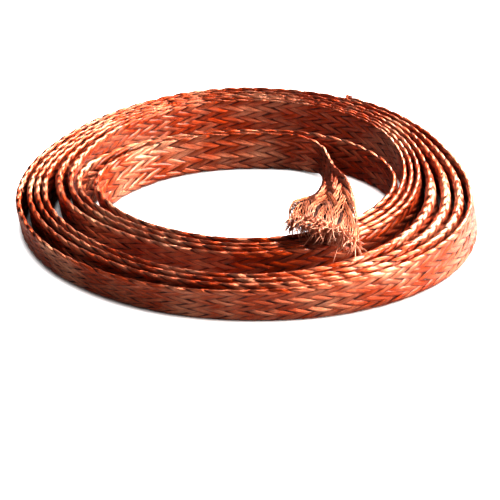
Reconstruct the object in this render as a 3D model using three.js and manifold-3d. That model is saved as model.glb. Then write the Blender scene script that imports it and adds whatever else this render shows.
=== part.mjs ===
// A loose coil of flat bare copper braid that lies on its edge, with a flared, frayed inner end.
// Millimetres, +Z up. The coil stands on z = 0 with the middle of its footprint at the origin.
// The braid is one woven strap, so it is one solid: every turn, the loose end and its frayed tufts.
import * as THREE from "three";
import { mergeVertices } from "three/addons/utils/BufferGeometryUtils.js";
import Module from "manifold-3d";

// The strap: a tube of braid pressed flat
const strapWidth = 12.7;
const strapThickness = 1.6;
const ridgesPerFace = 3;
const ridgeRelief = 0.2;
const edgeThickness = 0.8;
const widthSpread = 0.5;
const widthWave = 0.2;
const widthWavesPerTurn = 1.7;

// The coil: each turn lies outside the one before, at a strap's thickness and the least clearance
const turns = 8;
const stepsPerTurn = 36;
const startAngle = 62;
const turnClearance = 0.45;
const slackMean = 0.45;
const slackSwing = 0.35;
const slackAngle = 270;

// Radius of the innermost turn at every twelfth of a circle, from the right and round by the back
const innerRadii = [46.1, 40.8, 34.7, 31.4, 33.2, 39.7, 47.7, 47.6, 44.9, 44.3, 44.4, 45.7];

// Places where the next turn out stands off: path angle of the inner turn, reach and extra room.
// The widest are the crescent at the back and the one at the front.
const openings = [
  { angle: 75, reach: 90, room: 1.4 },
  { angle: 172, reach: 60, room: 4 },
  { angle: 395, reach: 50, room: 1.6 },
  { angle: 448, reach: 100, room: 22.8 },
  { angle: 490, reach: 60, room: 3.8 },
  { angle: 900, reach: 60, room: 1.6 },
  { angle: 1280, reach: 65, room: 1.6 },
  { angle: 1355, reach: 110, room: 10.8 },
  { angle: 1775, reach: 75, room: 2.8 },
  { angle: 2140, reach: 80, room: 2 },
  { angle: 2235, reach: 60, room: 1.8 },
  { angle: 2385, reach: 55, room: 3.2 },
  { angle: 2505, reach: 65, room: 1.4 },
];

// The outer turns lean in at the top, apart from the front left where they lean out
const leanInward = 8;
const leanOutward = 30;
const leanAngle = 236;
const leanReach = 95;

// The inner turns lean out a little, and most at the back left
const innerLean = 4;
const innerLeanMore = 16;
const innerLeanAngle = 166;
const innerLeanReach = 62;
const innerLeanTurns = 6;

// At the right all turns lean in at the top, each on the next like shingles
const rightLean = 14;
const rightLeanAngle = 350;
const rightLeanReach = 85;

// The loose end leaves the inner wall, folds towards the front and opens over the front turns.
// Each point is x, y and the height of the strap's middle above its middle on the coil.
const looseRoute = [
  [19.4, 28.3, 0.0],
  [21.6, 26.0, 0.0],
  [23.1, 23.2, 0.1],
  [24.2, 19.5, 0.3],
  [25.0, 15.0, 0.7],
  [25.5, 10.0, 1.3],
  [25.7, 4.6, 2.1],
  [25.6, -1.0, 3.1],
  [25.4, -6.8, 4.2],
  [25.1, -12.6, 5.4],
  [24.7, -18.5, 6.6],
  [24.3, -24.5, 7.7],
  [23.9, -30.4, 9.0],
  [23.5, -36.3, 10.0],
  [23.2, -42.0, 10.6],
  [22.9, -47.4, 10.8],
];
const twistAngle = 97;
const twistStart = 16;
const twistLength = 60;
const flareWidth = 22;
const flareStart = 34;
const flareLength = 42;
const flareThickness = 2.2;
const flareBow = 2;
const tipSkew = 0.25;

// Frayed tufts, one for each bundle of wires that the braid is woven from
const bundles = 24;
const tuftSides = 5;
const tuftRadius = 0.62;
const tuftPoint = 0.18;
const tuftLength = 6;
const tuftSpread = 2.5;
const tuftSeat = 1.5;

const degrees = Math.PI / 180;
const pathSpan = 360 * turns;

const clamp = (value) => Math.min(1, Math.max(0, value));
const ease = (value) => clamp(value) ** 2 * (3 - 2 * clamp(value));
const swell = (value) => (Math.abs(value) < 1 ? 0.5 + 0.5 * Math.cos(Math.PI * value) : 0);

// A repeatable scatter between -1 and 1 for the tufts
const scatter = (seed) => 2 * THREE.MathUtils.euclideanModulo(Math.sin(seed * 12.9898) * 43758.5453, 1) - 1;

// Radius of the innermost turn's outline, a smooth closed curve through its values
function outlineAt(angle) {
  const place = THREE.MathUtils.euclideanModulo(angle / 360, 1) * innerRadii.length;
  const first = Math.floor(place);
  const t = place - first;
  const at = (step) => innerRadii[(first + step + innerRadii.length) % innerRadii.length];
  const slopeIn = (at(1) - at(-1)) / 2;
  const slopeOut = (at(2) - at(0)) / 2;
  const rise = at(1) - at(0);
  return at(0) + t * (slopeIn + t * (3 * rise - 2 * slopeIn - slopeOut + t * (slopeIn + slopeOut - 2 * rise)));
}

// Room from the middle of one turn to the middle of the next turn out
function pitchAt(angle) {
  const loose = slackMean + slackSwing * Math.cos((angle - slackAngle) * degrees);
  const extra = openings.reduce((sum, o) => sum + o.room * swell((angle - o.angle) / o.reach), 0);
  return strapThickness + turnClearance + loose + extra;
}

// Radius of the strap's middle at a path angle, which grows by 360 a turn from the inner end
function radiusAt(angle) {
  let radius = outlineAt(angle);
  for (let back = angle; back > startAngle; back -= 360) {
    radius += clamp((back - startAngle) / 360) * pitchAt(back - 360);
  }
  return radius;
}

const woundShare = (angle) => (angle - startAngle) / pathSpan;

function leanAt(angle) {
  const around = THREE.MathUtils.euclideanModulo(angle, 360);
  const share = woundShare(angle);
  const outer = leanOutward * swell((around - leanAngle) / leanReach) - leanInward;
  const inner = innerLean + innerLeanMore * swell((around - innerLeanAngle) / innerLeanReach);
  const fromRight = THREE.MathUtils.euclideanModulo(angle - rightLeanAngle + 180, 360) - 180;
  const right = rightLean * swell(fromRight / rightLeanReach);
  return (outer * share + inner * clamp(1 - (share * turns) / innerLeanTurns) - right) * degrees;
}

function widthAt(angle) {
  const wave = widthWave * Math.sin(widthWavesPerTurn * (angle - startAngle) * degrees);
  return strapWidth + widthSpread * (1 - 2 * woundShare(angle)) + wave;
}

// The strap's section as [across, proud] pairs: three ridges a face and a narrow flat at each edge
function section(width, thickness, slope = 1) {
  const edge = (edgeThickness / strapThickness) * thickness;
  const steps = 2 * ridgesPerFace;
  const face = [];
  for (let i = 0; i <= steps; i++) {
    const across = width * (i / steps - 0.5);
    const valley = thickness / 2 - ridgeRelief;
    const proud = i === 0 || i === steps ? edge / 2 : i % 2 ? thickness / 2 : valley;
    face.push([across, proud * slope]);
  }
  const back = face.map(([across, proud]) => [across, -proud]).reverse();
  return [...face, ...back];
}

// One ring of the wound strap, in the upright plane through the coil's axis
function coilRing(angle) {
  const lean = leanAt(angle);
  const width = widthAt(angle);
  const radius = radiusAt(angle);
  const turned = (radiusAt(angle + 1) - radiusAt(angle - 1)) / (2 * degrees);
  const slope = Math.hypot(radius, turned) / radius;
  const middle = (width / 2) * Math.cos(lean);
  return section(width, strapThickness, slope).map(([across, proud]) => {
    const r = radius + across * Math.sin(lean) + proud * Math.cos(lean);
    const z = across === -width / 2 ? 0 : middle + across * Math.cos(lean) - proud * Math.sin(lean);
    return new THREE.Vector3(r * Math.cos(angle * degrees), r * Math.sin(angle * degrees), z);
  });
}

// The loose end's curve, from the coil to the tip
const coilStart = new THREE.Vector3(
  radiusAt(startAngle) * Math.cos(startAngle * degrees),
  radiusAt(startAngle) * Math.sin(startAngle * degrees),
  widthAt(startAngle) / 2,
);
const looseCurve = new THREE.CatmullRomCurve3(
  [coilStart, ...looseRoute.map(([x, y, rise]) => new THREE.Vector3(x, y, coilStart.z + rise))],
  false,
  "centripetal",
);
const looseLength = looseCurve.getLength();

// Where a spot of the loose end lies: across its width, proud of its middle and on towards the tip
function loosePlace(share, across, proud, onward = 0) {
  const along = share * looseLength;
  const towardsCoil = looseCurve.getTangentAt(share).negate();
  const side = new THREE.Vector3().crossVectors(towardsCoil, new THREE.Vector3(0, 0, 1)).normalize();
  const up = new THREE.Vector3().crossVectors(side, towardsCoil);
  const twist = twistAngle * ease((along - twistStart) / twistLength) * degrees;
  const wide = up.clone().multiplyScalar(Math.cos(twist)).addScaledVector(side, Math.sin(twist));
  const outer = side.clone().multiplyScalar(Math.cos(twist)).addScaledVector(up, -Math.sin(twist));
  const opened = ease((along - flareStart) / flareLength);
  const bow = flareBow * opened * (2 * across / flareWidth) ** 2;
  return looseCurve
    .getPointAt(share)
    .addScaledVector(wide, across)
    .addScaledVector(outer, proud + bow)
    .addScaledVector(towardsCoil, -onward - tipSkew * opened * across);
}

function looseRing(share) {
  const opened = ease((share * looseLength - flareStart) / flareLength);
  const width = THREE.MathUtils.lerp(widthAt(startAngle), flareWidth, opened);
  const thickness = THREE.MathUtils.lerp(strapThickness, flareThickness, opened);
  return section(width, thickness).map(([across, proud]) => loosePlace(share, across, proud));
}

// A closed body through rings of equal count, capped across its ends
function skin(rings) {
  const count = rings[0].length;
  const last = (rings.length - 1) * count;
  const faces = [];
  const quad = (a, b, c, d) => faces.push(a, b, c, a, c, d);
  for (let i = 0; i < rings.length - 1; i++) {
    for (let j = 0; j < count; j++) {
      const next = (j + 1) % count;
      quad(i * count + j, (i + 1) * count + j, (i + 1) * count + next, i * count + next);
    }
  }
  for (let j = 0; j < count / 2 - 1; j++) {
    quad(j, j + 1, count - 2 - j, count - 1 - j);
    quad(last + j, last + count - 1 - j, last + count - 2 - j, last + j + 1);
  }
  const geometry = new THREE.BufferGeometry().setFromPoints(rings.flat());
  geometry.setIndex(faces);
  return geometry;
}

// One tuft: the end of a bundle, thinner towards its point
function tuft(index) {
  const perFace = bundles / 2;
  const side = index < perFace ? 1 : -1;
  const across = flareWidth * (((index % perFace) + 0.5) / perFace - 0.5) * (1 - 1 / bundles);
  const proud = (side * (flareThickness - tuftRadius * 2)) / 2;
  const length = tuftLength + tuftSpread * 0.4 * scatter(index + 1);
  const from = loosePlace(1, across, proud, -tuftSeat);
  const lift = side > 0 ? -0.5 * tuftSpread : -tuftSpread * (0.4 + 0.4 * scatter(index + 40));
  const to = loosePlace(1, across + tuftSpread * 0.5 * scatter(index + 20), proud + lift, length);
  const reach = to.clone().sub(from);
  const geometry = new THREE.CylinderGeometry(tuftPoint, tuftRadius, reach.length(), tuftSides);
  geometry.translate(0, reach.length() / 2, 0);
  geometry.applyQuaternion(new THREE.Quaternion().setFromUnitVectors(new THREE.Vector3(0, 1, 0), reach.normalize()));
  return geometry.translate(from.x, from.y, from.z);
}

const wasm = await Module();
wasm.setup();

function solid(geometry) {
  const bare = geometry.clone().deleteAttribute("normal").deleteAttribute("uv");
  const merged = mergeVertices(bare, 1e-4);
  const vertProperties = merged.attributes.position.array;
  const triVerts = new Uint32Array(merged.index.array);
  return new wasm.Manifold(new wasm.Mesh({ numProp: 3, vertProperties, triVerts }));
}

function geometryOf(body) {
  const mesh = body.getMesh();
  const geometry = new THREE.BufferGeometry();
  geometry.setAttribute("position", new THREE.BufferAttribute(mesh.vertProperties, 3));
  geometry.setIndex(new THREE.BufferAttribute(mesh.triVerts, 1));
  geometry.computeVertexNormals();
  return geometry;
}

function braidGeometry() {
  const rings = [];
  for (let i = looseRoute.length; i > 0; i--) {
    rings.push(looseRing(i / looseRoute.length));
  }
  const steps = Math.round(turns * stepsPerTurn);
  for (let i = 0; i <= steps; i++) {
    rings.push(coilRing(startAngle + (pathSpan * i) / steps));
  }
  let body = solid(skin(rings));
  for (let i = 0; i < bundles; i++) {
    body = body.add(solid(tuft(i)));
  }
  return geometryOf(body);
}

const copper = new THREE.MeshStandardMaterial({ color: 0xb8613c, roughness: 0.38, metalness: 1 });
copper.name = "bare_copper";

const braid = new THREE.Mesh(braidGeometry(), copper);
braid.name = "copper_braid";

// The middle of the footprint goes to the origin
const box = new THREE.Box3().setFromObject(braid);
const middle = box.getCenter(new THREE.Vector3());
braid.position.set(-middle.x, -middle.y, 0);

const part = new THREE.Group();
part.add(braid);

export default part;
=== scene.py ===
"""A loose coil of flat bare copper braid on a pale floor, built over the CAD frame.

The braid is woven for real: bundles of wires run both ways round a tube that is pressed flat,
two over and two under. The loose inner end opens into single wires and frays at its mouth.
Lengths are in millimetres and path angles in degrees until the meshes are made, in metres.
"""

import math

import bpy
import numpy as np
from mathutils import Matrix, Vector


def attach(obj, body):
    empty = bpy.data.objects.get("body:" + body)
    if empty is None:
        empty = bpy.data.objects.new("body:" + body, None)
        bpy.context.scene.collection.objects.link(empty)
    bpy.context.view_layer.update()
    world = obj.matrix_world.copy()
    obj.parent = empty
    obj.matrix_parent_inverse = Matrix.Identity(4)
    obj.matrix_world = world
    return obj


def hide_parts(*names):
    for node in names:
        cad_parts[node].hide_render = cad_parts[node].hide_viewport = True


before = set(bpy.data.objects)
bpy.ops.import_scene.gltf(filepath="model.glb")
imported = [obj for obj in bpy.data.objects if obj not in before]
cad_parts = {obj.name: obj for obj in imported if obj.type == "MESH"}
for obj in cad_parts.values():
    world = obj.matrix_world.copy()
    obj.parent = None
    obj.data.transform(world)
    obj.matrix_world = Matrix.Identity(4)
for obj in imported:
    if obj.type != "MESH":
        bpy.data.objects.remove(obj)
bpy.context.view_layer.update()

bl_info = {
    "name": "Copper braid coil",
    "version": (1, 0, 0),
    "blender": (4, 5, 0),
    "location": "View3D > Sidebar > Braid",
    "description": "Builds a coil of flat woven copper braid, its frayed end and a studio",
    "category": "Object",
}

MM = 0.001
NODE = "copper_braid"
BODY = "root"

# The coil, as in the CAD part
TURNS = 8
START_ANGLE = 62
TURN_CLEARANCE = 0.45
SLACK_MEAN = 0.45
SLACK_SWING = 0.35
SLACK_ANGLE = 270
INNER_RADII = [46.1, 40.8, 34.7, 31.4, 33.2, 39.7, 47.7, 47.6, 44.9, 44.3, 44.4, 45.7]
WIDTH_SPREAD = 0.5
WIDTH_WAVE = 0.2
WIDTH_WAVES_PER_TURN = 1.7

# Where the next turn out stands off: path angle of the inner turn, reach and extra room
OPENINGS = [
    (75, 90, 1.4),
    (172, 60, 4),
    (395, 50, 1.6),
    (448, 100, 22.8),
    (490, 60, 3.8),
    (900, 60, 1.6),
    (1280, 65, 1.6),
    (1355, 110, 10.8),
    (1775, 75, 2.8),
    (2140, 80, 2),
    (2235, 60, 1.8),
    (2385, 55, 3.2),
    (2505, 65, 1.4),
]

# How the turns lean: the outer ones in at the top but out at the front left, the inner ones out,
# and all of them in at the right
LEAN_INWARD = 8
LEAN_OUTWARD = 30
LEAN_ANGLE = 236
LEAN_REACH = 95
INNER_LEAN = 4
INNER_LEAN_MORE = 16
INNER_LEAN_ANGLE = 166
INNER_LEAN_REACH = 62
INNER_LEAN_TURNS = 6
RIGHT_LEAN = 14
RIGHT_LEAN_ANGLE = 350
RIGHT_LEAN_REACH = 85

# The loose end's route: x, y and the height of the strap's middle above its middle on the coil
LOOSE_ROUTE = [
    (19.4, 28.3, 0.0),
    (22.2, 26.6, 0.0),
    (24.2, 23.9, 0.1),
    (25.2, 20.0, 0.3),
    (25.7, 15.0, 0.7),
    (25.9, 10.0, 1.3),
    (25.7, 4.6, 2.1),
    (25.6, -1.0, 3.1),
    (25.4, -6.8, 4.2),
    (25.1, -12.6, 5.4),
    (24.7, -18.5, 6.6),
    (24.3, -24.5, 7.7),
    (23.9, -30.4, 9.0),
    (23.5, -36.3, 10.0),
    (23.2, -42.0, 10.6),
    (22.9, -47.4, 10.8),
]
TWIST_ANGLE = 97
TWIST_START = 8
TWIST_LENGTH = 62
FLARE_WIDTH = 22
FLARE_START = 28
FLARE_LENGTH = 50
FLARE_BOW = 2
FLARE_THICKNESS = 2.2
TIP_SKEW = 0.45

# The waist, where the twisted strap is gathered before it opens
WAIST = 0.28
WAIST_MIDDLE = 22
WAIST_REACH = 24

# At the right the outer turns are drawn in and stand straighter than in the CAD part
RIGHT_FADE = 0.85
RIGHT_DRAW = 1.3

# Where neighbouring turns stand apart, the pressed tube opens a little, and most at the right
BULGE_START = 0.8
BULGE_SHARE = 0.45
BULGE_SHARE_RIGHT = 0.4
BULGE_MOST = 0.9
BULGE_MOST_RIGHT = 1.5

# Spacing of the points that the path is worked out at, and the lengths that it is smoothed over
ANGLE_STEP = 0.25
PATH_STEP = 0.5
PATH_SMOOTHING = 1.5
FRAME_SMOOTHING = 5.0


def swell(value):
    """A raised cosine: 1 at the middle and 0 past a distance of 1."""
    return np.where(np.abs(value) < 1, 0.5 + 0.5 * np.cos(np.pi * value), 0.0)


def ease(value):
    """A smooth step from 0 to 1."""
    value = np.clip(value, 0, 1)
    return value * value * (3 - 2 * value)


def outline_at(angle):
    """Radius of the innermost turn's outline, a smooth closed curve through its values."""
    count = len(INNER_RADII)
    values = np.array(INNER_RADII, float)
    place = np.mod(angle / 360, 1) * count
    first = np.floor(place).astype(int)
    t = place - first
    before, here, after, beyond = (values[(first + step) % count] for step in (-1, 0, 1, 2))
    slope_in = (after - before) / 2
    slope_out = (beyond - here) / 2
    rise = after - here
    bend = 3 * rise - 2 * slope_in - slope_out
    close = slope_in + slope_out - 2 * rise
    return here + t * (slope_in + t * (bend + t * close))


def pitch_at(angle, thickness):
    """Room from the middle of one turn to the middle of the next turn out."""
    loose = SLACK_MEAN + SLACK_SWING * np.cos(np.radians(angle - SLACK_ANGLE))
    extra = sum(room * swell((angle - middle) / reach) for middle, reach, room in OPENINGS)
    return thickness + TURN_CLEARANCE + loose + extra


def radius_at(angle, thickness):
    """Radius of the strap's middle at a path angle, which grows by 360 a turn."""
    radius = outline_at(angle)
    for turn in range(TURNS + 1):
        back = angle - 360 * turn
        share = np.clip((back - START_ANGLE) / 360, 0, 1)
        radius = radius + share * pitch_at(back - 360, thickness)
    return radius


def share_at(angle):
    """How far out a path angle is, from 0 where the coil starts to 1 at its outer end."""
    return (angle - START_ANGLE) / (360 * TURNS)


def right_at(angle):
    """How far a path angle is in the right-hand part of the coil, from 0 to 1."""
    return swell((np.mod(angle - RIGHT_LEAN_ANGLE + 180, 360) - 180) / RIGHT_LEAN_REACH)


def lean_at(angle, fade=0.0):
    """The strap's lean in radians, outward at the top. The lean at the right may fade outward."""
    share = share_at(angle)
    around = np.mod(angle, 360)
    outer = LEAN_OUTWARD * swell((around - LEAN_ANGLE) / LEAN_REACH) - LEAN_INWARD
    inner = INNER_LEAN + INNER_LEAN_MORE * swell((around - INNER_LEAN_ANGLE) / INNER_LEAN_REACH)
    right = RIGHT_LEAN * (1 - fade * share) * right_at(angle)
    inner_share = np.clip(1 - share * TURNS / INNER_LEAN_TURNS, 0, 1)
    return np.radians(outer * share + inner * inner_share - right)


def width_at(angle, width):
    """The strap's width on the coil, a little less on the outer turns."""
    wave = WIDTH_WAVE * np.sin(np.radians(WIDTH_WAVES_PER_TURN * (angle - START_ANGLE)))
    return width + WIDTH_SPREAD * (1 - 2 * share_at(angle)) + wave


def centripetal(points, per_segment=40):
    """A centripetal Catmull-Rom curve through points, as many samples to each segment."""
    ends = [2 * points[0] - points[1], *points, 2 * points[-1] - points[-2]]
    samples = []
    for p0, p1, p2, p3 in zip(ends, ends[1:], ends[2:], ends[3:]):
        pairs = ((p0, p1), (p1, p2), (p2, p3))
        d0, d1, d2 = (max(1e-4, np.linalg.norm(b - a)) ** 0.5 for a, b in pairs)
        m1 = ((p1 - p0) / d0 - (p2 - p0) / (d0 + d1) + (p2 - p1) / d1) * d1
        m2 = ((p2 - p1) / d1 - (p3 - p1) / (d1 + d2) + (p3 - p2) / d2) * d1
        t = np.linspace(0, 1, per_segment, endpoint=False)[:, None]
        bend = -3 * p1 + 3 * p2 - 2 * m1 - m2
        close = 2 * p1 - 2 * p2 + m1 + m2
        samples.append(p1 + m1 * t + bend * t**2 + close * t**3)
    return np.vstack([*samples, points[-1][None]])


def smoothed(values, reach):
    """A running mean over reach samples, with the ends kept."""
    reach = 2 * (int(reach) // 2) + 1
    before = np.repeat(values[:1], reach // 2, 0)
    after = np.repeat(values[-1:], reach // 2, 0)
    padded = np.concatenate([before, values, after])
    kernel = np.ones(reach) / reach
    return np.stack([np.convolve(column, kernel, "valid") for column in padded.T], 1)


def unit(vectors):
    """The vectors at length one."""
    return vectors / np.linalg.norm(vectors, axis=-1, keepdims=True)


class Strap:
    """The strap's path from the mouth of its loose end to the outer end of the coil, in mm."""

    def __init__(self, settings):
        self.width = settings.strap_width / MM
        self.thickness = settings.strap_thickness / MM
        self.mouth = settings.mouth_thickness / MM
        angle = np.arange(START_ANGLE, START_ANGLE + 360 * TURNS + 0.1, ANGLE_STEP)
        radius = radius_at(angle, self.thickness)
        width = width_at(angle, self.width)
        lean = lean_at(angle, RIGHT_FADE)
        drawn_in = RIGHT_DRAW * share_at(angle) * right_at(angle)
        coil = self.around(angle, radius - drawn_in, width, lean)
        self.footprint = self.footprint_shift(angle, radius, width)
        self.lay_path(coil)

        along_coil = self.distances(coil)
        new_turns = START_ANGLE + 360 * np.arange(TURNS + 1)
        self.turn_starts = self.loose_length + np.interp(new_turns, angle, along_coil)
        from_coil = self.loose_length - self.s
        lean, width, bulge = (
            np.interp(-from_coil, along_coil, values)
            for values in (lean, width, self.bulge_at(angle))
        )
        wound = 1 - ease(from_coil / TWIST_START)
        self.set_frames(from_coil, lean * wound)
        self.set_section(from_coil, width, bulge * wound)

    def lay_path(self, coil):
        """The strap's middle at even distances s from the mouth of its loose end."""
        route = [coil[0]]
        route += [np.array([x, y, coil[0][2] + rise]) for x, y, rise in LOOSE_ROUTE]
        loose = centripetal(route)[::-1]
        self.loose_length = self.distances(loose)[-1]
        points = np.vstack([loose[:-1], coil])
        along = self.distances(points)
        self.s = np.arange(0, along[-1], PATH_STEP)
        middle = np.stack([np.interp(self.s, along, column) for column in points.T], 1)
        self.middle = smoothed(middle, PATH_SMOOTHING / PATH_STEP) + self.footprint

    def set_frames(self, from_coil, lean):
        """Which way the strap goes, and which way its width and its outer face point."""
        path = smoothed(self.middle, FRAME_SMOOTHING / PATH_STEP)
        self.onward = unit(np.gradient(path, self.s, axis=0))
        side = unit(np.cross(self.onward, [0, 0, 1]))
        up = np.cross(side, self.onward)
        twist = np.radians(TWIST_ANGLE) * ease((from_coil - TWIST_START) / TWIST_LENGTH)
        turn = (twist + lean)[:, None]
        self.wide = up * np.cos(turn) + side * np.sin(turn)
        self.outer = side * np.cos(turn) - up * np.sin(turn)

    def set_section(self, from_coil, width, bulge):
        """The strap's width and thickness, and how far its tube is opened."""
        self.opened = ease((from_coil - FLARE_START) / FLARE_LENGTH)
        gathered = 1 - WAIST * swell((from_coil - WAIST_MIDDLE) / WAIST_REACH)
        self.widths = (width + (FLARE_WIDTH - width) * self.opened) * gathered
        gape = ease(1 - self.s / MOUTH_LENGTH)
        flare = (FLARE_THICKNESS - self.thickness) * self.opened
        self.thick = self.thickness + flare + (self.mouth - FLARE_THICKNESS) * gape + bulge

    def bulge_at(self, angle):
        """How far the pressed tube swells on the coil where there is room beside it."""
        next_in = pitch_at(angle - 360, self.thickness)
        room = np.minimum(pitch_at(angle, self.thickness), next_in) - self.thickness
        right = right_at(angle)
        share = BULGE_SHARE + BULGE_SHARE_RIGHT * right
        return np.clip(share * (room - BULGE_START), 0, BULGE_MOST + BULGE_MOST_RIGHT * right)

    @staticmethod
    def around(angle, radius, width, lean):
        """Points of the strap's middle on the coil."""
        turned = np.radians(angle)
        height = width / 2 * np.cos(lean)
        return np.stack([radius * np.cos(turned), radius * np.sin(turned), height], 1)

    @staticmethod
    def distances(points):
        """Distance along a polyline at each of its points."""
        return np.concatenate([[0], np.cumsum(np.linalg.norm(np.diff(points, axis=0), axis=1))])

    def footprint_shift(self, angle, radius, width):
        """Moves the middle of the CAD part's coil to the origin, as the CAD part does."""
        lean = lean_at(angle)
        coil = self.around(angle, radius, width, lean)
        outward = unit(coil * [1, 1, 0])
        reach = (np.abs(np.sin(lean)) * width + self.thickness) / 2
        edge = coil + outward * reach[:, None]
        middle = (edge.min(0) + edge.max(0)) / 2
        return np.array([-middle[0], -middle[1], 0])

    def at(self, s, values):
        """Values of the path at any distances along it."""
        if values.ndim == 1:
            return np.interp(s, self.s, values)
        return np.stack([np.interp(s, self.s, column) for column in values.T], -1)

    def place(self, s, u, lift):
        """Points and outward normals at distance s, share u round the tube and lift off its wall."""
        half = self.at(s, self.widths) / 2 - WALL / 2
        deep = self.at(s, self.thick) / 2 - WALL / 2
        across, proud, n_across, n_proud = tube_section(u, half, deep)
        opened = self.at(s, self.opened)
        bow = FLARE_BOW * opened * (2 * across / FLARE_WIDTH) ** 2
        across = across + n_across * lift
        proud = proud + n_proud * lift + bow
        wide = self.at(s, self.wide)
        outer = self.at(s, self.outer)
        points = self.at(s, self.middle) + wide * across[..., None] + outer * proud[..., None]
        points = points - self.at(s, self.onward) * (TIP_SKEW * opened * across)[..., None]
        normals = wide * n_across[..., None] + outer * n_proud[..., None]
        return points, normals


def tube_section(u, half, deep):
    """Place and normal on a pressed tube's middle line: across and proud of the strap's middle."""
    end = half - deep
    flat = 2 * end
    arc = np.pi * deep
    q = np.mod(u, 1) * 2 * (flat + arc)
    right = (q - flat) / deep
    left = (q - 2 * flat - arc) / deep
    zones = [q < flat, q < flat + arc, q < 2 * flat + arc]
    zero = np.zeros_like(q)
    one = np.ones_like(q)
    across = [q - end, end + deep * np.sin(right), end - (q - flat - arc)]
    proud = [deep * one, deep * np.cos(right), -deep * one]
    return (
        np.select(zones, across, -end - deep * np.sin(left)),
        np.select(zones, proud, -deep * np.cos(left)),
        np.select(zones, [zero, np.sin(right), zero], -np.sin(left)),
        np.select(zones, [one, np.cos(right), -one], -np.cos(left)),
    )


# The weave: how thick the tube's wall is, how its bundles rise and dip, and how they stray
WALL = 0.72
FLOAT_SHARPNESS = 1.7
BUNDLE_FILL = 0.97
BUNDLE_ARCH = 0.28
ARCH_CREST = 0.9
STRAY = 0.2
STRAY_WAVE = 53
TILT = 0.1
TILT_WAVE = 37
RIBBON_STEP = 1.3
RIBBON_ACROSS = (-1, -0.55, 0, 0.55, 1)
SEED = 7

# The loose end: where its mouth and its waist end, its length as a cord, and how the flare's
# bundles clump, rise and run straighter
MOUTH_LENGTH = 27
WAIST_END = 62
CORD_LENGTH = 79
CORD_POINTS = 40
CLUMP_ARCH = 0.7
FLARE_LIFT = 0.2
LOOSE_SPREAD = -0.12
LOOSE_RAMP = 1.5
FLARE_STRAIGHTENING = 0.85

# Single wires: their spacing, thickness and wander, and how thin a tube's closed end is
WIRE_STEP = 1.0
WIRE_SIDES = 5
WIRE_OVERLAP = 1.08
WIRE_JOG = 0.16
WIRE_JOG_WAVE = 31
TIP_TAPER = 0.15
UPRIGHT = (0.0, 0.0, 1.0)

# The fray: how its wires start, spread, sag and bend, and how long they are
FRAY_LENGTH = 5.4
FRAY_SHORTEST = 0.3
FRAY_LONGEST = 1.15
FRAY_BELOW = 0.5
FRAY_STEPS = 7
FRAY_REPEATS = 4
FRAY_ROOT = 0.8
FRAY_JITTER = 0.4
FRAY_SPLAY = 0.42
FRAY_SAG = 0.1
FRAY_BEND = 1.8
FRAY_OVER = 0.4
CUT_FRAY = 1.2
CUT_STRETCH = 4

# The dark band inside the tube, painted shade seen through the weave's gaps
CORE_START = 2
CORE_STEP = 4
CORE_SIDES = 8

# Texture space: along a ribbon for each metre, along a wire for each point, and wire tones
UV_PER_METRE = 100
UV_PER_POINT = 0.1
WIRE_TONES = 97


def waves(rng, count, s, longest):
    """A slow wander for each bundle: three sines of its own, from about -1 to 1."""
    total = np.zeros((count, 1)) + np.zeros_like(s)[None]
    for part in (1, 0.45, 0.2):
        phase = rng.uniform(0, 2 * np.pi, (count, 1))
        length = longest * part * rng.uniform(0.8, 1.25, (count, 1))
        total = total + np.sin(2 * np.pi * s[None] / length + phase) / 2
    return total


class Weave:
    """Where each bundle of the braid runs, and how high it rides over the ones it crosses."""

    def __init__(self, strap, settings):
        self.strap = strap
        self.each_way = settings.bundles // 2
        self.lay = settings.lay_length / MM
        self.girth = 2 * strap.width
        self.slant = math.atan2(self.girth, self.lay)
        spacing = self.girth / self.each_way * math.cos(self.slant)
        self.half_width = spacing / 2 * BUNDLE_FILL
        straightened = 1 - FLARE_STRAIGHTENING * strap.opened
        self.rounds = np.cumsum(straightened) * PATH_STEP / self.lay

    def bundle(self, index, s, across, tilt=0.0, stray=0.0, spread=1.0, rise=1.0, arch=BUNDLE_ARCH):
        """Points, normals and heights of one bundle at distances s, and across it from -1 to 1."""
        way = 1 if index < self.each_way else -1
        rounds = self.strap.at(s, self.rounds)
        u = (index % self.each_way) / self.each_way + way * rounds + stray / self.girth
        aside = across * self.half_width * spread
        s_there = s - way * aside * math.sin(self.slant)
        u_there = u + aside * math.cos(self.slant) / self.girth
        swing = np.cos(np.pi * self.each_way * (u + u_there) / 2 - np.pi / 4)
        over = way * np.tanh(FLOAT_SHARPNESS * swing) / math.tanh(FLOAT_SHARPNESS)
        lift = rise * over * WALL / 4 + arch * (ARCH_CREST - across**2) + tilt * across
        points, normals = self.strap.place(s_there, u_there, lift)
        return points, normals, over


def grid_faces(strips, steps, across, closed):
    """Corner indices of the quads of strips x steps x across points, wrapped across if closed."""
    base = np.arange(strips)[:, None, None] * steps * across
    row = np.arange(steps - 1)[None, :, None] * across
    count = across if closed else across - 1
    col = np.arange(count)[None, None, :]
    after = (col + 1) % across
    here = base + row
    beyond = here + across
    corners = [here + col, here + after, beyond + after, beyond + col]
    return np.stack(np.broadcast_arrays(*corners), -1).reshape(-1, 4)


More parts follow.
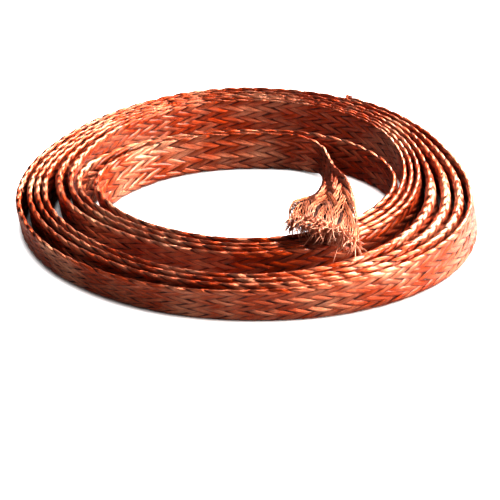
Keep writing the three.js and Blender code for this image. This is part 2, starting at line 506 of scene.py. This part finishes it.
def new_mesh(name, points, faces, uv, over, material, loose=0.0):
    """An object in metres from points in mm, with a uv map and the attributes over and loose."""
    mesh = bpy.data.meshes.new(name)
    mesh.vertices.add(len(points))
    mesh.vertices.foreach_set("co", (points * MM).astype(np.float32).ravel())
    mesh.loops.add(faces.size)
    mesh.loops.foreach_set("vertex_index", faces.astype(np.int32).ravel())
    mesh.polygons.add(len(faces))
    mesh.polygons.foreach_set("loop_start", np.arange(0, faces.size, 4, dtype=np.int32))
    mesh.polygons.foreach_set("use_smooth", np.ones(len(faces), bool))
    layer = mesh.uv_layers.new(name="UVMap")
    layer.data.foreach_set("uv", uv[faces.ravel()].astype(np.float32).ravel())
    for label, values in (("over", over), ("loose", loose)):
        values = np.broadcast_to(values, len(points)).astype(np.float32)
        mesh.attributes.new(label, "FLOAT", "POINT").data.foreach_set("value", values)
    mesh.update(calc_edges=True)
    mesh.validate()
    mesh.materials.append(material)
    obj = bpy.data.objects.new(name, mesh)
    bpy.context.scene.collection.objects.link(obj)
    return obj


def stand_for_braid(obj):
    """The piece takes the CAD braid's place and rides with it."""
    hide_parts(NODE)
    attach(obj, BODY)
    return obj


def join(first, second):
    """Adds the second object's mesh to the first."""
    objects = {"active_object": first, "selected_editable_objects": [first, second]}
    with bpy.context.temp_override(**objects):
        bpy.ops.object.join()
    return first


def ribbons(weave, name, start, end, material):
    """The bundles of a stretch of the strap, as arched ribbons."""
    count = 2 * weave.each_way
    steps = max(2, round((end - start) / RIBBON_STEP) + 1)
    s = np.linspace(start, end, steps)
    rng = np.random.default_rng(SEED)
    tilt = TILT * waves(rng, count, s, TILT_WAVE)
    stray = STRAY * waves(rng, count, s, STRAY_WAVE)
    s = s[:, None]
    across = np.array([RIBBON_ACROSS], float)
    points, uvs, overs = [], [], []
    for index in range(count):
        spots, _, over = weave.bundle(index, s, across, tilt[index][:, None], stray[index][:, None])
        points.append(spots)
        overs.append(over)
        uv = np.broadcast_arrays((across + 1) / 2 + index, s * MM * UV_PER_METRE)
        uvs.append(np.stack(uv, -1))
    faces = grid_faces(count, steps, across.size, False)
    points = np.array(points).reshape(-1, 3)
    uvs = np.array(uvs).reshape(-1, 2)
    return new_mesh(name, points, faces, uvs, np.array(overs).ravel(), material)


def wire_tubes(name, lines, normals, radius, over, material, loose, closed_ends=True):
    """Thin tubes along lines of points, drawn to a tip at both ends where they are closed."""
    count, steps = lines.shape[:2]
    along = unit(np.gradient(lines, axis=1))
    out = unit(normals - along * (normals * along).sum(-1, keepdims=True))
    aside = np.cross(along, out)
    turn = np.arange(WIRE_SIDES)[:, None] * 2 * np.pi / WIRE_SIDES
    ring = out[..., None, :] * np.cos(turn) + aside[..., None, :] * np.sin(turn)
    radii = np.full((steps, 1, 1), radius)
    if closed_ends:
        radii[[0, -1]] *= TIP_TAPER
    points = lines[..., None, :] + ring * radii
    faces = grid_faces(count, steps, WIRE_SIDES, True)
    tone = np.arange(count)[:, None, None] % WIRE_TONES + 0.5
    v = np.arange(steps)[None, :, None] * UV_PER_POINT
    uv = [np.broadcast_to(values, points.shape[:3]) for values in (tone, v)]
    uv = np.stack(uv, -1).reshape(-1, 2)
    over, loose = (
        np.repeat(np.broadcast_to(values, (count, steps)).ravel(), WIRE_SIDES)
        for values in (over, loose)
    )
    return new_mesh(name, points.reshape(-1, 3), faces, uv, over, material, loose)


def wire_lines(weave, settings, start, end):
    """Lines, normals and heights of all single wires of a stretch, and how loose they are."""
    count = 2 * weave.each_way
    wires = settings.wires_per_bundle
    s = np.linspace(start, end, round((end - start) / WIRE_STEP) + 1)
    opened = weave.strap.at(s, weave.strap.opened)
    spread = 1 + LOOSE_SPREAD * opened
    rise = 1 + FLARE_LIFT * opened
    arch = BUNDLE_ARCH + (CLUMP_ARCH - BUNDLE_ARCH) * opened
    rng = np.random.default_rng(SEED + 1)
    jog = WIRE_JOG * waves(rng, count * wires, s, WIRE_JOG_WAVE)
    placed = []
    for index in range(count):
        for wire in range(wires):
            across = 2 * (wire + 0.5) / wires - 1 + jog[index * wires + wire]
            placed.append(weave.bundle(index, s, across, spread=spread, rise=rise, arch=arch))
    lines, normals, overs = (np.array(values) for values in zip(*placed))
    return lines, normals, overs, ease(opened * LOOSE_RAMP)


def fray(lines, normals, rng, longest):
    """Wires that go on past the start of lines, each its own way, with some that stop short."""
    lines = np.repeat(lines, FRAY_REPEATS, 0)
    count = len(lines)
    start = lines[:, 0] + rng.normal(0, FRAY_JITTER, (count, 3))
    heading = unit(lines[:, 0] - lines[:, 3])
    stray = rng.normal(0, FRAY_SPLAY, (count, 3))
    stray[:, 2] -= FRAY_SAG
    above = np.repeat(normals[:, 0, 2] > 0, FRAY_REPEATS)
    length = longest * rng.uniform(FRAY_SHORTEST, FRAY_LONGEST, count)
    length = length * np.where(above, 1.0, FRAY_BELOW)
    t = np.linspace(0, 1, FRAY_STEPS)[None, :, None]
    path = heading[:, None, :] * t + t**FRAY_BEND * stray[:, None, :]
    tips = start[:, None, :] + path * length[:, None, None]
    roots = start - heading * FRAY_ROOT
    return np.concatenate([roots[:, None], tips], 1)


def core_band(strap, name, start, end, material):
    """A dark band inside the pressed tube, seen through the weave's gaps: painted shade standing in
    for the shaded inside of the tube.
    """
    steps = round((end - start) / CORE_STEP) + 1
    s = np.linspace(start, end, steps)[:, None]
    u = (np.arange(CORE_SIDES)[None, :] + 0.5) / CORE_SIDES
    points, _ = strap.place(*np.broadcast_arrays(s, u), -WALL / 2)
    faces = grid_faces(1, steps, CORE_SIDES, True)
    uv = np.zeros((steps * CORE_SIDES, 2))
    return new_mesh(name, points.reshape(-1, 3), faces, uv, -1.0, material)


def add_node(tree, kind, inputs=(), **values):
    """A node with its properties set, and its named inputs set or linked."""
    node = tree.nodes.new(kind)
    for key, value in values.items():
        setattr(node, key, value)
    for key, value in dict(inputs).items():
        if isinstance(value, bpy.types.NodeSocket):
            tree.links.new(value, node.inputs[key])
        else:
            node.inputs[key].default_value = value
    return node


def math_node(tree, operation, *values):
    """The result of a math node on numbers or sockets."""
    return add_node(tree, "ShaderNodeMath", enumerate(values), operation=operation).outputs[0]


def remap(tree, value, limits):
    """A value brought from one range to another, each from 0 to 1 where limits says nothing."""
    return add_node(tree, "ShaderNodeMapRange", {"Value": value, **limits}).outputs["Result"]


def mix(tree, factor, first, second, blend="MIX"):
    """Two colours mixed by a factor."""
    inputs = {"Factor": factor, "A": first, "B": second}
    node = add_node(tree, "ShaderNodeMix", inputs, data_type="RGBA", blend_type=blend)
    return node.outputs["Result"]


def attribute(tree, name):
    """A number that the mesh has at each point."""
    return add_node(tree, "ShaderNodeAttribute", attribute_name=name).outputs["Fac"]


def bundle_uv(tree):
    """The place on a bundle, and its x: the bundle's number, and how far across it is."""
    uv = add_node(tree, "ShaderNodeUVMap", uv_map="UVMap").outputs["UV"]
    return uv, add_node(tree, "ShaderNodeSeparateXYZ", {"Vector": uv}).outputs["X"]


def new_group(name, inputs, outputs):
    """A shader node group with named sockets: its tree, its input node and its output node."""
    group = bpy.data.node_groups.new(name, "ShaderNodeTree")
    for label, kind, default in inputs:
        socket = group.interface.new_socket(label, in_out="INPUT", socket_type=kind)
        socket.default_value = default
    for label, kind in outputs:
        group.interface.new_socket(label, in_out="OUTPUT", socket_type=kind)
    return group, group.nodes.new("NodeGroupInput"), group.nodes.new("NodeGroupOutput")


# The copper's looks: its fine scratches, its tarnished patches, how its wires wander, and its glaze
SCRATCH_SCALE = 900.0
PATCH_WARMTH = 0.82
WANDER_STRETCH = (5.0, 0.9, 1.0)
WANDER_WIRES = 1.6
GLAZE_ROUGHNESS = 0.2
GLAZE_IOR = 1.75
# Painted shade: the dark colour of the band inside the tube
INSIDE_SHADE_COLOUR = (0.05, 0.012, 0.006)


def tarnish_and_shade_group():
    """Colour and roughness of drawn copper: bright on the floats in tarnished patches, with painted
    shade that turns it brown in the dips and along each bundle's edges.
    """
    existing = bpy.data.node_groups.get("Copper Tarnish")
    if existing:
        return existing
    group, source, sink = new_group(
        "Copper Tarnish",
        [
            ("Bright", "NodeSocketColor", (0.95, 0.62, 0.47, 1)),
            ("Warm", "NodeSocketColor", (0.80, 0.30, 0.15, 1)),
            # Painted shade: the dark colour of the dips and of the bundle edges
            ("Dip", "NodeSocketColor", (0.16, 0.03, 0.015, 1)),
            ("Patch Scale", "NodeSocketFloat", 60.0),
            ("Roughness", "NodeSocketFloat", 0.3),
            ("Variety", "NodeSocketFloat", 0.3),
        ],
        [("Colour", "NodeSocketColor"), ("Roughness", "NodeSocketFloat")],
    )
    place = add_node(group, "ShaderNodeTexCoord").outputs["Object"]
    scale = source.outputs["Patch Scale"]
    coarse = {"Vector": place, "Scale": scale, "Detail": 3.0}
    fine = {"Vector": place, "Scale": SCRATCH_SCALE, "Detail": 2.0}
    patches, scratches = (
        add_node(group, "ShaderNodeTexNoise", inputs).outputs["Fac"] for inputs in (coarse, fine)
    )
    _, strand_place = bundle_uv(group)
    strand = math_node(group, "FLOOR", strand_place)
    own = add_node(group, "ShaderNodeTexWhiteNoise", {"W": strand}, noise_dimensions="1D")
    warmth = remap(group, patches, {"From Min": 0.25, "From Max": 0.55})
    shade = math_node(group, "MULTIPLY", warmth, PATCH_WARMTH)
    variety = source.outputs["Variety"]
    lively = math_node(group, "MULTIPLY_ADD", own.outputs["Value"], variety, shade)
    copper = mix(group, lively, source.outputs["Bright"], source.outputs["Warm"])
    # Painted shade: darker where a bundle runs under the ones it crosses
    over = attribute(group, "over")
    dip_shade = remap(group, over, {"From Min": 0.25, "From Max": -0.9, "To Max": 0.9})
    # Painted shade: darker along both edges of each bundle, where it meets the next
    across = math_node(group, "FRACT", strand_place)
    apart = math_node(group, "ABSOLUTE", math_node(group, "SUBTRACT", across, 0.5))
    rim_shade = remap(group, apart, {"From Min": 0.34, "From Max": 0.5, "To Max": 0.7})
    hollow_shade = math_node(group, "MAXIMUM", dip_shade, rim_shade)
    tone = mix(group, hollow_shade, copper, source.outputs["Dip"])
    uneven = remap(group, scratches, {"To Min": -0.08, "To Max": 0.14})
    rough = math_node(group, "ADD", uneven, source.outputs["Roughness"])
    group.links.new(tone, sink.inputs["Colour"])
    group.links.new(rough, sink.inputs["Roughness"])
    return group


def wires_group():
    """A normal that shows the single wires of a bundle, and how far it is from the grooves, for
    painted shade in them.
    """
    existing = bpy.data.node_groups.get("Bundle Wires")
    if existing:
        return existing
    group, source, sink = new_group(
        "Bundle Wires",
        [
            ("Wires", "NodeSocketFloat", 8.0),
            ("Depth", "NodeSocketFloat", 0.00006),
            ("Strength", "NodeSocketFloat", 1.0),
        ],
        [("Normal", "NodeSocketVector"), ("Groove", "NodeSocketFloat")],
    )
    uv, strand_place = bundle_uv(group)
    stretch = {0: uv, 1: WANDER_STRETCH}
    stretched = add_node(group, "ShaderNodeVectorMath", stretch, operation="MULTIPLY").outputs[0]
    inputs = {"Vector": stretched, "Scale": 3.0, "Detail": 2.0}
    wander = add_node(group, "ShaderNodeTexNoise", inputs).outputs["Fac"]
    counted = math_node(group, "MULTIPLY", strand_place, source.outputs["Wires"])
    jogged = math_node(group, "MULTIPLY_ADD", wander, WANDER_WIRES, counted)
    wave = math_node(group, "SINE", math_node(group, "MULTIPLY", jogged, math.pi))
    ridge = math_node(group, "ABSOLUTE", wave)
    depth = source.outputs["Depth"]
    inputs = {"Height": ridge, "Distance": depth, "Strength": source.outputs["Strength"]}
    bump = add_node(group, "ShaderNodeBump", inputs)
    group.links.new(bump.outputs["Normal"], sink.inputs["Normal"])
    group.links.new(ridge, sink.inputs["Groove"])
    return group


def copper_material(name, settings, wires, loose_painted_light_colour=None):
    """Bare copper: bundles with wires in relief, or single wires where wires is 0."""
    material = bpy.data.materials.new(name)
    material.use_nodes = True
    tree = material.node_tree
    shader = tree.nodes["Principled BSDF"]
    shader.inputs["Metallic"].default_value = 1.0
    shader.inputs["Coat Weight"].default_value = settings.glaze
    shader.inputs["Coat Roughness"].default_value = GLAZE_ROUGHNESS
    shader.inputs["Coat IOR"].default_value = GLAZE_IOR
    bright = (*settings.bright_colour, 1)
    warm = (*settings.warm_colour, 1)
    inputs = {"Bright": bright, "Warm": warm, "Dip": (*settings.dip_shade_colour, 1)}
    inputs["Roughness"] = settings.roughness
    if not wires:
        loose = attribute(tree, "loose")
        duller = {"To Min": settings.roughness, "To Max": settings.loose_roughness}
        # Painted light: the loose wires are mixed towards paler copper, which brightens them in their
        # shade
        inputs["Bright"] = mix(tree, loose, bright, (*settings.loose_bright_painted_light_colour, 1))
        inputs["Warm"] = mix(tree, loose, warm, (*loose_painted_light_colour, 1))
        inputs["Variety"] = remap(tree, loose, {"To Min": 0.3, "To Max": 0.7})
        inputs["Roughness"] = remap(tree, loose, duller)
    tone = add_node(tree, "ShaderNodeGroup", inputs, node_tree=tarnish_and_shade_group())
    colour = tone.outputs["Colour"]
    if wires:
        relief = add_node(tree, "ShaderNodeGroup", {"Wires": wires}, node_tree=wires_group())
        tree.links.new(relief.outputs["Normal"], shader.inputs["Normal"])
        # Painted shade: the colour darkens in the grooves between the wires
        groove_shade = remap(tree, relief.outputs["Groove"], {"From Max": 0.55, "To Min": 0.55})
        colour = mix(tree, 1.0, colour, groove_shade, "MULTIPLY")
    tree.links.new(colour, shader.inputs["Base Color"])
    tree.links.new(tone.outputs["Roughness"], shader.inputs["Roughness"])
    return material


def plain_material(name, colour, roughness, metallic=0.0):
    """A material with one colour."""
    material = bpy.data.materials.new(name)
    material.use_nodes = True
    shader = material.node_tree.nodes["Principled BSDF"]
    shader.inputs["Base Color"].default_value = (*colour, 1)
    shader.inputs["Roughness"].default_value = roughness
    shader.inputs["Metallic"].default_value = metallic
    return material


# The floor: its size, and how near a turn it is dark and past which share of open sky it is white
FLOOR_REACH = 4.0
SHADE_DISTANCE = 0.004
OPEN_SKY = {"From Min": 0.35, "From Max": 0.8}


def floor_material(settings):
    """A pale floor that stays white in soft shadow, and is dark only between the turns."""
    material = plain_material("Pale floor", settings.floor_colour, 0.6)
    tree = material.node_tree
    inputs = {"Distance": SHADE_DISTANCE}
    sky = add_node(tree, "ShaderNodeAmbientOcclusion", inputs, samples=8).outputs["AO"]
    seen = add_node(tree, "ShaderNodeLightPath").outputs["Is Camera Ray"]
    lit = math_node(tree, "MULTIPLY", remap(tree, sky, OPEN_SKY), seen)
    glow = math_node(tree, "MULTIPLY", lit, settings.floor_glow)
    shader = tree.nodes["Principled BSDF"]
    shader.inputs["Emission Color"].default_value = (1, 1, 1, 1)
    tree.links.new(glow, shader.inputs["Emission Strength"])
    return material


class BraidSettings(bpy.types.PropertyGroup):
    """Sizes of the strap and its weave."""

    strap_width: bpy.props.FloatProperty(
        name="Strap width",
        description="Width of the flat braid",
        default=12.7 * MM,
        min=0.004,
        unit="LENGTH",
    )
    strap_thickness: bpy.props.FloatProperty(
        name="Strap thickness",
        description="Thickness of the flat braid",
        default=1.6 * MM,
        min=0.001,
        unit="LENGTH",
    )
    mouth_thickness: bpy.props.FloatProperty(
        name="Mouth opening",
        description="How far the tube gapes at its frayed end",
        default=2.8 * MM,
        unit="LENGTH",
    )
    lay_length: bpy.props.FloatProperty(
        name="Lay length",
        description="Length in which a bundle goes once round",
        default=72 * MM,
        unit="LENGTH",
    )
    bundles: bpy.props.IntProperty(
        name="Bundles",
        description="Bundles of wires in the braid, half of them each way",
        default=24,
        min=8,
        step=4,
    )
    wires_per_bundle: bpy.props.IntProperty(
        name="Wires in a bundle",
        description="Wires side by side in each bundle",
        default=8,
        min=3,
        max=12,
    )


class CopperSettings(bpy.types.PropertyGroup):
    """Colours of the bare copper."""

    bright_colour: bpy.props.FloatVectorProperty(
        name="Bright",
        description="Clean copper on the floats",
        subtype="COLOR",
        default=(0.90, 0.46, 0.29),
    )
    warm_colour: bpy.props.FloatVectorProperty(
        name="Warm",
        description="Copper with a light tarnish",
        subtype="COLOR",
        default=(0.50, 0.068, 0.008),
    )
    # Painted light: the loose and frayed wires get paler copper, which brightens them where they lie
    # in shade
    loose_painted_light_colour: bpy.props.FloatVectorProperty(
        name="Loose wires",
        description="Paler copper of the loose end",
        subtype="COLOR",
        default=(0.62, 0.2, 0.085),
    )
    loose_bright_painted_light_colour: bpy.props.FloatVectorProperty(
        name="Loose bright wires",
        description="Palest wires of the loose end",
        subtype="COLOR",
        default=(0.95, 0.60, 0.46),
    )
    frayed_painted_light_colour: bpy.props.FloatVectorProperty(
        name="Frayed wires",
        description="Copper of the frayed tips",
        subtype="COLOR",
        default=(0.82, 0.36, 0.22),
    )
    loose_roughness: bpy.props.FloatProperty(
        name="Loose roughness",
        description="Roughness of the loose wires",
        default=0.42,
        min=0.05,
        max=1,
        subtype="FACTOR",
    )
    # Painted shade: the colour that the dips and the bundle edges darken towards
    dip_shade_colour: bpy.props.FloatVectorProperty(
        name="Dip",
        description="Copper between the floats",
        subtype="COLOR",
        default=(0.06, 0.005, 0.002),
    )
    roughness: bpy.props.FloatProperty(
        name="Roughness",
        description="Roughness of the wires",
        default=0.3,
        min=0.05,
        max=1,
        subtype="FACTOR",
    )
    glaze: bpy.props.FloatProperty(
        name="Glaze",
        description="Clear drawing lubricant left on the wires",
        default=0.38,
        min=0,
        max=1,
        subtype="FACTOR",
    )


class StudioSettings(bpy.types.PropertyGroup):
    """The floor, the lights and the camera."""

    floor_colour: bpy.props.FloatVectorProperty(
        name="Floor",
        description="Colour of the floor",
        subtype="COLOR",
        default=(0.9, 0.9, 0.9),
    )
    floor_glow: bpy.props.FloatProperty(
        name="Floor glow",
        description="How bright the floor stays in soft shadow",
        default=1.1,
        min=0,
    )
    sky_strength: bpy.props.FloatProperty(
        name="Room light", description="Strength of the light from all round", default=0.13
    )
    right_power: bpy.props.FloatProperty(
        name="Right light",
        description="Power of the softbox at the right",
        default=9.5,
        unit="POWER",
    )
    back_power: bpy.props.FloatProperty(
        name="Back light",
        description="Power of the softbox behind at the right",
        default=21.0,
        unit="POWER",
    )
    fill_power: bpy.props.FloatProperty(
        name="Fill light",
        description="Power of the weak softbox at the front left",
        default=1.0,
        unit="POWER",
    )
    focal_length: bpy.props.FloatProperty(
        name="Lens", description="Focal length in millimetres", default=174.5, min=20
    )
    distance: bpy.props.FloatProperty(
        name="Distance",
        description="From the camera to the coil's middle",
        default=0.8,
        unit="LENGTH",
    )
    display_gamma: bpy.props.FloatProperty(
        name="Display gamma",
        description="Below 1 the mid tones are deeper",
        default=0.78,
        min=0.5,
        max=1.5,
    )
    exposure: bpy.props.FloatProperty(
        name="Exposure", description="Brightness of the picture in stops", default=0.42
    )
    elevation: bpy.props.FloatProperty(
        name="Elevation",
        description="Height of the camera as an angle",
        default=math.radians(26),
        unit="ROTATION",
    )


def woven_copper(context):
    """The material of the woven turns, made once."""
    settings = context.scene.braid_settings
    name = "Woven copper"
    existing = bpy.data.materials.get(name)
    return existing or copper_material(name, context.scene.copper_settings, settings.wires_per_bundle)


def fitted(settings):
    """The strap's path and its weave."""
    strap = Strap(settings)
    return strap, Weave(strap, settings)


class BRAID_OT_turns(bpy.types.Operator):
    """Weaves the wound turns of the coil"""

    bl_idname = "braid.turns"
    bl_label = "Wound turns"

    def execute(self, context):
        strap, weave = fitted(context.scene.braid_settings)
        copper = woven_copper(context)
        starts = [MOUTH_LENGTH + CORD_LENGTH, *strap.turn_starts[1:-1], strap.s[-1]]
        for turn, (start, end) in enumerate(zip(starts, starts[1:]), 1):
            stand_for_braid(ribbons(weave, f"braid_turn_{turn}", start, end, copper))
        # Painted shade: a dark band inside the tube
        inside = plain_material("Braid inside", INSIDE_SHADE_COLOUR, 0.8, 0.6)
        stand_for_braid(core_band(strap, "braid_inside", CORE_START, strap.s[-1], inside))
        return {"FINISHED"}


class BRAID_OT_loose_end(bpy.types.Operator):
    """Lays the loose inner end, its mouth of single wires, and the frays at both ends"""

    bl_idname = "braid.loose_end"
    bl_label = "Loose end"

    def execute(self, context):
        settings = context.scene.braid_settings
        strap, weave = fitted(settings)
        finish = context.scene.copper_settings
        # Painted light: the loose wires get paler copper, and the frayed ones paler still
        copper = copper_material("Loose wires", finish, 0, finish.loose_painted_light_colour)
        pale = copper_material("Frayed wires", finish, 0, finish.frayed_painted_light_colour)
        radius = weave.half_width / settings.wires_per_bundle * WIRE_OVERLAP
        cord_end = MOUTH_LENGTH + CORD_LENGTH

        def open_wires(name, start, end):
            lines, normals, over, loose = wire_lines(weave, settings, start, end)
            obj = wire_tubes(name, lines, normals, radius, over, copper, loose, closed_ends=False)
            return obj, lines, normals

        opened, _, _ = open_wires("opened", MOUTH_LENGTH, WAIST_END)
        end = ribbons(weave, "loose_end", WAIST_END, cord_end, woven_copper(context))
        stand_for_braid(join(end, opened))
        mouth, lines, normals = open_wires("loose_mouth", 0, MOUTH_LENGTH)
        stand_for_braid(mouth)
        rng = np.random.default_rng(SEED + 2)
        tips = fray(lines, normals, rng, FRAY_LENGTH)
        wires = wire_tubes("frayed_wires", tips, UPRIGHT, radius, FRAY_OVER, pale, 1.0)
        stand_for_braid(wires)
        outer_end = strap.s[-1]
        lines, normals, _, _ = wire_lines(weave, settings, outer_end - CUT_STRETCH, outer_end)
        cut = fray(lines[:, ::-1], normals[:, ::-1], rng, CUT_FRAY)
        stand_for_braid(wire_tubes("cut_wires", cut, UPRIGHT, radius, FRAY_OVER, copper, 0.0))
        s = np.linspace(MOUTH_LENGTH, cord_end, CORD_POINTS)
        strap.at(strap.loose_length, strap.middle) * MM
        strap.at(s, strap.middle) * MM
        return {"FINISHED"}


def softbox(name, place, size, power, colour):
    """An area light that points at the middle of the coil."""
    data = bpy.data.lights.new(name, "AREA")
    data.shape = "RECTANGLE"
    data.size, data.size_y = size
    data.energy = power
    data.color = colour
    light = bpy.data.objects.new(name, data)
    light.location = place
    light.rotation_euler = (-Vector(place)).to_track_quat("-Z", "Y").to_euler()
    bpy.context.scene.collection.objects.link(light)


# The lights: name, place, size, the setting that has its power, and colour
WARM_LIGHT = (1, 0.97, 0.92)
SOFTBOXES = (
    ("Right softbox", (0.85, -0.25, 0.36), (0.55, 0.4), "right_power", WARM_LIGHT),
    ("Back softbox", (0.5, 0.64, 0.56), (0.6, 0.5), "back_power", WARM_LIGHT),
    ("Fill softbox", (-0.7, -0.5, 0.8), (0.7, 0.7), "fill_power", (1, 1, 1)),
)

# Where the photo has the coil's middle: its height on the strap and its pixel row out of 500
AIM_HEIGHT = 6.35 * MM
AIM_ROW = 191.8
SENSOR = 36.0
IMAGE_ROWS = 500


class BRAID_OT_studio(bpy.types.Operator):
    """Sets up the floor, the lights and the camera"""

    bl_idname = "braid.studio"
    bl_label = "Studio"

    def execute(self, context):
        scene = context.scene
        settings = scene.studio_settings
        strap = Strap(scene.braid_settings)
        floor_mesh = bpy.data.meshes.new("floor")
        corners = [(-1, -1, 0), (1, -1, 0), (1, 1, 0), (-1, 1, 0)]
        corners = [Vector(corner) * FLOOR_REACH for corner in corners]
        floor_mesh.from_pydata(corners, [], [(0, 1, 2, 3)])
        floor_mesh.materials.append(floor_material(settings))
        floor = bpy.data.objects.new("floor", floor_mesh)
        scene.collection.objects.link(floor)

        world = bpy.data.worlds.new("Studio")
        scene.world = world
        world.use_nodes = True
        background = world.node_tree.nodes["Background"]
        background.inputs["Color"].default_value = (1, 1, 1, 1)
        background.inputs["Strength"].default_value = settings.sky_strength
        for name, place, size, power, colour in SOFTBOXES:
            softbox(name, place, size, getattr(settings, power), colour)

        camera_data = bpy.data.cameras.new("Camera")
        camera = bpy.data.objects.new("Camera", camera_data)
        scene.collection.objects.link(camera)
        scene.camera = camera
        camera_data.lens = settings.focal_length
        camera_data.sensor_width = SENSOR
        centre = strap.footprint * MM + np.array([0, 0, AIM_HEIGHT])
        up = settings.elevation
        away = np.array([0, -math.cos(up), math.sin(up)]) * settings.distance
        camera.location = Vector(centre + away)
        pixel = settings.focal_length / SENSOR * IMAGE_ROWS
        tip_down = math.atan2(IMAGE_ROWS / 2 - AIM_ROW, pixel)
        camera.rotation_euler = (math.pi / 2 - up - tip_down, 0, 0)
        scene.view_settings.view_transform = "Standard"
        scene.view_settings.gamma = settings.display_gamma
        scene.view_settings.exposure = settings.exposure
        return {"FINISHED"}


class BRAID_PT_panel(bpy.types.Panel):
    """Shows the braid coil's settings and the buttons for its steps"""

    bl_idname = "BRAID_PT_panel"
    bl_label = "Copper braid coil"
    bl_space_type = "VIEW_3D"
    bl_region_type = "UI"
    bl_category = "Braid"

    def draw(self, context):
        scene = context.scene
        for group in (scene.braid_settings, scene.copper_settings, scene.studio_settings):
            box = self.layout.box()
            for name in group.bl_rna.properties.keys():
                if name not in {"rna_type", "name"}:
                    box.prop(group, name)
        for operator in STEPS:
            self.layout.operator(operator.bl_idname)


GROUPS = (BraidSettings, CopperSettings, StudioSettings)
STEPS = (BRAID_OT_studio, BRAID_OT_turns, BRAID_OT_loose_end)


def register():
    for cls in (*GROUPS, *STEPS, BRAID_PT_panel):
        bpy.utils.register_class(cls)
    bpy.types.Scene.braid_settings = bpy.props.PointerProperty(type=BraidSettings)
    bpy.types.Scene.copper_settings = bpy.props.PointerProperty(type=CopperSettings)
    bpy.types.Scene.studio_settings = bpy.props.PointerProperty(type=StudioSettings)


def unregister():
    del bpy.types.Scene.studio_settings
    del bpy.types.Scene.copper_settings
    del bpy.types.Scene.braid_settings
    for cls in reversed((*GROUPS, *STEPS, BRAID_PT_panel)):
        bpy.utils.unregister_class(cls)


def main():
    """Builds the whole scene."""
    register()
    bpy.ops.braid.studio()
    bpy.ops.braid.turns()
    bpy.ops.braid.loose_end()


if __name__ == "__main__":
    main()
